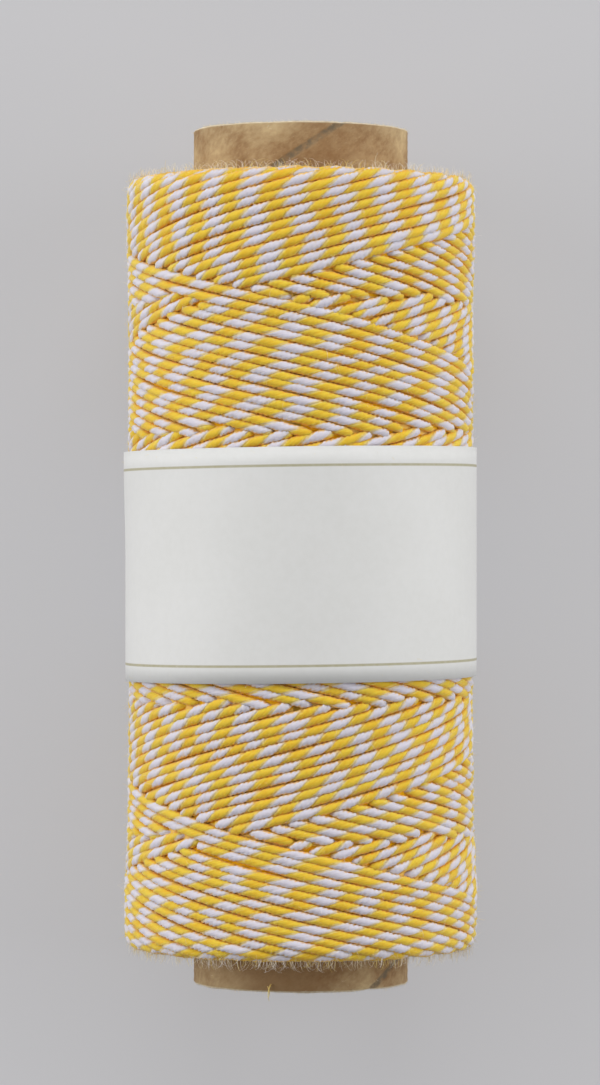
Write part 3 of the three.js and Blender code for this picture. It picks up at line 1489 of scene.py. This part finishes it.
@dataclass
class LooseFibres:
    """The longer fibres that have worked loose at the ends of the winding."""

    form: WoundForm
    fringe: int = 1150
    yellow_share: float = 0.2
    upper_share: float = 0.4
    upper_reach: tuple[float, float] = (0.3, 0.85)
    lower_reach: tuple[float, float] = (0.4, 1.2)
    lifts: tuple[float, float] = (-0.3, 0.5)
    lean_scatter: float = 0.035
    bend_at: tuple[float, float] = (0.1, 0.8)
    tip_lift: float = 0.5
    root_depth: float = 0.5
    roots: tuple[float, float] = (20.6, 22.9)
    radii: tuple[float, float] = (0.018, 0.03)
    underside: float = -0.75
    seed: int = 23
    yellow: tuple[Wisp, ...] = (
        Wisp((-3.9, -55.7, 36.5), (-4.5, -56.9, 37.6), (-4.1, -57.9, 36.6), 0.11),
        Wisp((-4.3, -56.0, 36.4), (-3.8, -57.1, 37.5), (-4.35, -57.5, 36.5), 0.08),
        Wisp((-17.4, 49.5, 36.2), (-17.9, 50.9, 36.9), (-17.5, 51.6, 37.6)),
    )
    white: tuple[Wisp, ...] = (
        Wisp((-14.1, 50.1, 40.2), (-13.6, 51.3, 41.9), (-14.2, 51.9, 42.8)),
        Wisp((9.7, 50.0, 43.0), (9.3, 51.2, 43.9), (9.9, 51.9, 45.0)),
    )

    def build(self, node: str, slot: str) -> list[bpy.types.Object]:
        """Build the fibres, one piece for each colour.

        Args:
            node: The CAD node that they belong to.
            slot: Not used.

        Returns:
            The pieces.
        """
        made = []
        fringe = self._fringe()
        cut = round(self.fringe * self.yellow_share)
        for name, wisps, finish in (
            ("yellow", [*self.yellow, *fringe[:cut]], YELLOW_FUZZ),
            ("white", [*self.white, *fringe[cut:]], WHITE_FUZZ),
        ):
            rings, sides = Wisp.steps, Wisp.sides
            faces: list[tuple[int, ...]] = []
            for start in range(0, len(wisps) * rings * sides, rings * sides):
                around = ring_faces(rings, sides, False)
                faces += [tuple(start + v for v in face) for face in around]
                faces.append(tuple(start + v for v in reversed(range(sides))))
                faces.append(tuple(start + (rings - 1) * sides + v for v in range(sides)))
            points = np.concatenate([w.rings() for w in wisps])
            mesh = new_mesh(f"twine_wisps_{name}", points, faces)
            piece = new_piece(f"twine_wisps_{name}", mesh, finish.material())
            hand_over(piece, node)
            made.append(piece)
        return made

    def _fringe(self) -> list[Wisp]:
        """Draw the short fibres that stand round the rims of both ends.

        Returns:
            The fibres.
        """
        chance = np.random.RandomState(self.seed)
        found = []
        while len(found) < self.fringe:
            side = 1.0 if chance.uniform() < self.upper_share else -1.0
            end = self.form.upper_end if side > 0 else self.form.lower_end
            angle, radius = chance.uniform(0.0, TURN), chance.uniform(*self.roots)
            if math.cos(angle) < self.underside:
                continue
            reach = chance.uniform(*(self.upper_reach if side > 0 else self.lower_reach))
            lift, lean = chance.uniform(*self.lifts), chance.normal(0.0, self.lean_scatter)
            spots = (
                (0.0, -self.root_depth, 0.0),
                (self.bend_at[0] * lean, self.bend_at[1] * reach, lift),
                (lean, reach, lift * self.tip_lift),
            )
            places = [
                (
                    (radius + rise) * math.sin(angle + turned),
                    end + side * along,
                    AXIS_HEIGHT + (radius + rise) * math.cos(angle + turned),
                )
                for turned, along, rise in spots
            ]
            found.append(Wisp(*places, chance.uniform(*self.radii)))
        return found


# ---- The tube and the band ----


@dataclass
class CoreTube:
    """The spiral-wound kraft tube, with its seam, its cut ends and its bore."""

    length: float = 113.6
    outer_radius: float = 14.3
    bore_radius: float = 12.7
    seam_lead: float = 58.2
    seam_angle: float = math.radians(13.0)
    seam_y: float = 55.3
    seam_half: float = 1.25
    seam_depth: float = 0.1
    seam_floor: float = 0.1
    seam_columns: tuple[float, ...] = (0.0, 0.5, 0.75, 1.0, 1.4, 2.2)
    edge_round: float = 0.25
    cut_rough: float = 0.03
    cut_waves: tuple[tuple[float, float, float], ...] = ((5.0, 0.6, 0.03), (13.0, 2.0, 0.025))
    rim_rings: int = 7
    rim_steps: tuple[tuple[float, float, float], ...] = ((0.02, 0.2, 0.35), (0.1, 0.06, 0.9))
    notch: float = 0.12
    fuzz_densities: tuple[float, float] = (30_000.0, 4_500_000.0)
    fuzz_fibre: tuple[float, float] = (0.5, 0.02)
    fuzz_spread: float = 1.1
    fuzz_seed: int = 41
    row: float = 1.25
    columns: int = 96
    sides_apart: float = 40.0
    node: str = "core_tube"
    slot: str = "kraft_board"
    seed: int = 5

    def build(self) -> list[bpy.types.Object]:
        """Build the tube and the loose fibres of its cut ends.

        Returns:
            The pieces.
        """
        offsets = self._offsets()
        half, soft = self.length / 2, self.edge_round
        rows = np.linspace(-half + soft, half - soft, round(self.length / self.row))
        profile = [(self.outer_radius, y, 0.0) for y in rows]
        profile += self._rim(1.0)
        profile += [(self.bore_radius, y, 0.0) for y in rows[::-1]]
        profile += self._rim(-1.0)
        rings, strips, walls = [], [], []
        chance = np.random.RandomState(self.seed)
        for radius, y, cut in profile:
            angle = self.seam_angle + (y - self.seam_y) * TURN / self.seam_lead + offsets
            turned = np.mod(offsets, TURN)
            away = np.minimum(turned, TURN - turned) * self.outer_radius
            groove = 1.0 - smoothstep(away, self.seam_half * self.seam_floor, self.seam_half)
            sign = 1.0 if radius > (self.outer_radius + self.bore_radius) / 2 else -1.0
            reach = radius - sign * groove * self.seam_depth * (1.0 - cut)
            ragged = sum(np.sin(angle * n + at) * high for n, at, high in self.cut_waves)
            rough = (chance.normal(0.0, self.cut_rough, len(angle)) + ragged) * cut
            along = y + rough * np.sign(y) - np.sign(y) * groove * self.notch * cut
            rings.append(columns(reach * np.sin(angle), along, AXIS_HEIGHT + reach * np.cos(angle)))
            strips.append(columns(angle * radius, y, sign))
            walls.append(columns(cut, self.outer_radius - radius, groove))
        faces = ring_faces(len(rings), len(offsets), True)
        mesh = new_mesh("core_tube_kraft", np.concatenate(rings), faces)
        keep_attribute(mesh, "strip", self._along_strip(np.concatenate(strips)))
        keep_attribute(mesh, "wall", np.concatenate(walls))
        piece = new_piece("core_tube_kraft", mesh, KRAFT.material())
        growth, ends = FuzzGrowth("kraft_fuzz_growth"), (0.5 - half, half - 0.5)
        fuzz = (self.fuzz_densities, self.fuzz_fibre, self.fuzz_spread)
        values = growth.values(*fuzz, ends, self.fuzz_seed, KRAFT_FUZZ.material())
        fibres = growth.grow("core_tube_fibres", mesh.copy(), values)
        for made in (piece, fibres):
            hand_over(made, self.node)
        return [piece, fibres]

    def _offsets(self) -> np.ndarray:
        """Return the columns' angles from the seam, close together beside it.

        Returns:
            The angles.
        """
        near = np.array(self.seam_columns) * self.seam_half / self.outer_radius
        rest = np.linspace(near[-1], TURN - near[-1], self.columns)
        return np.concatenate([near[:-1], rest, TURN - near[1:-1][::-1]])

    def _rim(self, side: float) -> list[tuple[float, float, float]]:
        """Return a cut end's profile, in the order of the whole profile.

        Args:
            side: 1 at the upper end and -1 at the lower one.

        Returns:
            Each ring's radius, place along the tube and share of cut board.
        """
        half, soft = self.length / 2, self.edge_round
        outer, bore = self.outer_radius, self.bore_radius
        radii = np.linspace(outer - soft, bore + soft, self.rim_rings)
        rim = [(outer - inset, side * (half - drop), cut) for inset, drop, cut in self.rim_steps]
        rim += [(float(r), side * half, 1.0) for r in radii]
        inset, drop, cut = self.rim_steps[-1]
        rim.append((bore + inset, side * (half - drop), cut))
        return rim if side > 0 else rim[::-1]

    def _along_strip(self, unrolled: np.ndarray) -> np.ndarray:
        """Turn unrolled places so that the first number runs along the wound strip.

        Args:
            unrolled: Rows of distance round the tube, place along it, and side.

        Returns:
            Rows of distance along the strip, across it, and side.
        """
        lean = math.atan2(self.seam_lead, TURN * self.outer_radius)
        along = unrolled[:, 0] * math.cos(lean) + unrolled[:, 1] * math.sin(lean)
        across = unrolled[:, 1] * math.cos(lean) - unrolled[:, 0] * math.sin(lean)
        return columns(along, across, unrolled[:, 2] * self.sides_apart)


@dataclass
class PaperBand:
    """The paper band round the middle of the winding, lapped at the back."""

    height: float = 30.4
    length: float = 156.5
    thickness: float = 0.18
    inner_radius: float = 23.22
    centre_y: float = -1.0
    tilt: float = math.radians(0.77)
    lap_start: float = math.radians(125.0)
    columns: int = 260
    rows: int = 16
    floor_gap: float = 0.02
    lap_gap: float = 0.03
    lap_rise: tuple[float, float] = (0.9, 0.1)
    lifted: float = 0.28
    lifted_at: float = math.radians(75.0)
    lifted_width: float = 0.5
    ripple: float = 0.035
    node: str = "label_band"
    slot: str = "band_paper"

    def finish(self) -> PaperFinish:
        """Return the band's paper.

        Returns:
            The finish.
        """
        return PaperFinish(
            "band_paper",
            sheet=(0.72, 0.72, 0.705),
            shade=(0.68, 0.68, 0.66),
            line=(0.41, 0.38, 0.25),
            height=self.height,
            upper_line=2.43,
            lower_line=2.24,
            line_width=0.3,
        )

    def build(self) -> bpy.types.Object:
        """Build the band.

        Returns:
            The piece.
        """
        mid_radius = self.inner_radius + self.thickness / 2
        along = np.linspace(0.0, self.length, self.columns)
        across = np.linspace(-self.height / 2, self.height / 2, self.rows)
        turned = along / mid_radius
        angle = self.lap_start + turned
        rise_from, rise_to = (TURN - before for before in self.lap_rise)
        lap = (self.thickness + self.lap_gap) * smoothstep(turned, rise_from, rise_to)
        layers = []
        for side in (1.0, -1.0):
            u, v = np.meshgrid(along, across, indexing="ij")
            a = np.repeat(angle[:, None], self.rows, axis=1)
            radius = mid_radius + lap[:, None] + self._stand_off(a, v) + side * self.thickness / 2
            reach = floor_reach(a, radius, self.floor_gap + (1.0 - side) / 2 * self.thickness)
            x = reach * np.sin(a)
            y = self.centre_y + v + x * math.tan(self.tilt)
            layers.append(columns(x, y, AXIS_HEIGHT + reach * np.cos(a)).reshape(-1, 3))
        strip = columns(u, v, 1.0).reshape(-1, 3)
        inner = strip * np.array([1.0, 1.0, 0.0])
        mesh = new_mesh("label_band_paper", np.concatenate(layers), self._faces())
        keep_attribute(mesh, "strip", np.concatenate([strip, inner]))
        piece = new_piece("label_band_paper", mesh, self.finish().material())
        hand_over(piece, self.node)
        flat = (self.height * MM, self.length * MM)
        return piece

    def _stand_off(self, angle: np.ndarray, across: np.ndarray) -> np.ndarray:
        """Return how far the paper stands off the twine.

        Args:
            angle: Angles round the tube.
            across: Places across the band.

        Returns:
            The distance at each.
        """
        upper = smoothstep(across, 0.0, self.height / 2)
        aside = np.mod(angle + self.lifted_at + math.pi, TURN) - math.pi
        left = np.exp(-((aside / self.lifted_width) ** 2))
        ripple = np.sin(angle * 5.0 + across * 0.05) * 0.5 + np.sin(angle * 11.0 + 1.3) * 0.5
        return self.lifted * upper * left + self.ripple * (1.0 + ripple)

    def _faces(self) -> list[tuple[int, int, int, int]]:
        """Return the faces of the closed strip: outside, inside and the four cut edges.

        Returns:
            The faces, each by its corners.
        """
        rows, last_column = self.rows, self.columns - 1
        inner = rows * self.columns
        faces = []
        for i in range(last_column):
            for j in range(rows - 1):
                a, b = i * rows + j, (i + 1) * rows + j
                faces.append((a, b, b + 1, a + 1))
                faces.append((inner + a, inner + a + 1, inner + b + 1, inner + b))
        for i in range(last_column):
            low, next_low = i * rows, (i + 1) * rows
            high, next_high = low + rows - 1, next_low + rows - 1
            faces.append((low, inner + low, inner + next_low, next_low))
            faces.append((high, next_high, inner + next_high, inner + high))
        for j in range(rows - 1):
            last = last_column * rows
            faces.append((j, j + 1, inner + j + 1, inner + j))
            faces.append((last + j, inner + last + j, inner + last + j + 1, last + j + 1))
        return faces


# ---- The studio ----


@dataclass(frozen=True)
class SoftLight:
    """One soft studio light that looks at the spool."""

    name: str
    place: tuple[float, float, float]
    width: float
    height: float
    power: float

    def build(self, aim: tuple[float, float, float]) -> None:
        """Put the light in the scene.

        Args:
            aim: The point that it faces.
        """
        lamp = bpy.data.lights.new(self.name, "AREA")
        lamp.shape = "RECTANGLE"
        lamp.size, lamp.size_y = self.width, self.height
        lamp.energy = self.power
        lit = bpy.data.objects.new(self.name, lamp)
        lit.location = self.place
        heading = np.array(self.place) - np.array(aim)
        flat = math.hypot(heading[0], heading[1])
        turned = math.atan2(heading[0], -heading[1])
        lit.rotation_euler = (math.atan2(flat, heading[2]), 0.0, turned)
        bpy.context.scene.collection.objects.link(lit)


@dataclass
class Studio:
    """The floor, the lights and the camera."""

    eye: tuple[float, float, float] = (-0.0001, 0.00187, 0.5766)
    lens: float = 137.5
    sensor: float = 36.0
    aim: tuple[float, float, float] = (0.0, 0.0, 0.02)
    sky: Colour = (1.0, 1.0, 1.02)
    sky_strength: float = 0.26
    floor_half: float = 1500.0
    floor: FloorFinish = FloorFinish(
        "pale_table", colour=(0.24, 0.24, 0.247), glow=(0.985, 0.975, 1.0), glow_strength=0.322
    )
    lights: tuple[SoftLight, ...] = (
        SoftLight("left_light", (-0.62, 0.10, 0.21), 0.5, 0.8, 3.75),
        SoftLight("right_light", (0.62, 0.08, 0.21), 0.5, 0.8, 3.45),
        SoftLight("upper_light", (0.0, 0.75, 0.50), 0.8, 0.4, 4.1),
    )

    def build(self) -> None:
        """Build the studio."""
        corners = ((-1, -1), (1, -1), (1, 1), (-1, 1))
        points = np.array([(x * self.floor_half, y * self.floor_half, 0.0) for x, y in corners])
        floor = new_piece("floor", new_mesh("floor", points, [(0, 1, 2, 3)]), self.floor.material())
        for light in self.lights:
            light.build(self.aim)
        world = bpy.data.worlds.new("studio_air")
        world.use_nodes = True
        backdrop = world.node_tree.nodes["Background"]
        backdrop.inputs["Color"].default_value = (*self.sky, 1.0)
        backdrop.inputs["Strength"].default_value = self.sky_strength
        scene = bpy.context.scene
        scene.world = world
        scene.view_settings.view_transform = "Standard"
        scene.view_settings.look = "None"
        self._camera(scene)

    def _camera(self, scene: bpy.types.Scene) -> None:
        """Look straight down at the spool, as the photograph does.

        Args:
            scene: The scene.
        """
        camera = bpy.data.cameras.new("camera")
        camera.lens = self.lens
        camera.sensor_width = self.sensor
        camera.clip_start, camera.clip_end = 0.01, 10.0
        eye = bpy.data.objects.new("camera", camera)
        eye.location = self.eye
        scene.collection.objects.link(eye)
        scene.camera = eye


def main() -> None:
    """Build the spool and its studio."""
    logging.basicConfig(level=logging.INFO, format="%(message)s")
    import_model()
    Studio().build()
    TwineWinding().build()
    CoreTube().build()
    PaperBand().build()


if __name__ == "__main__":
    main()
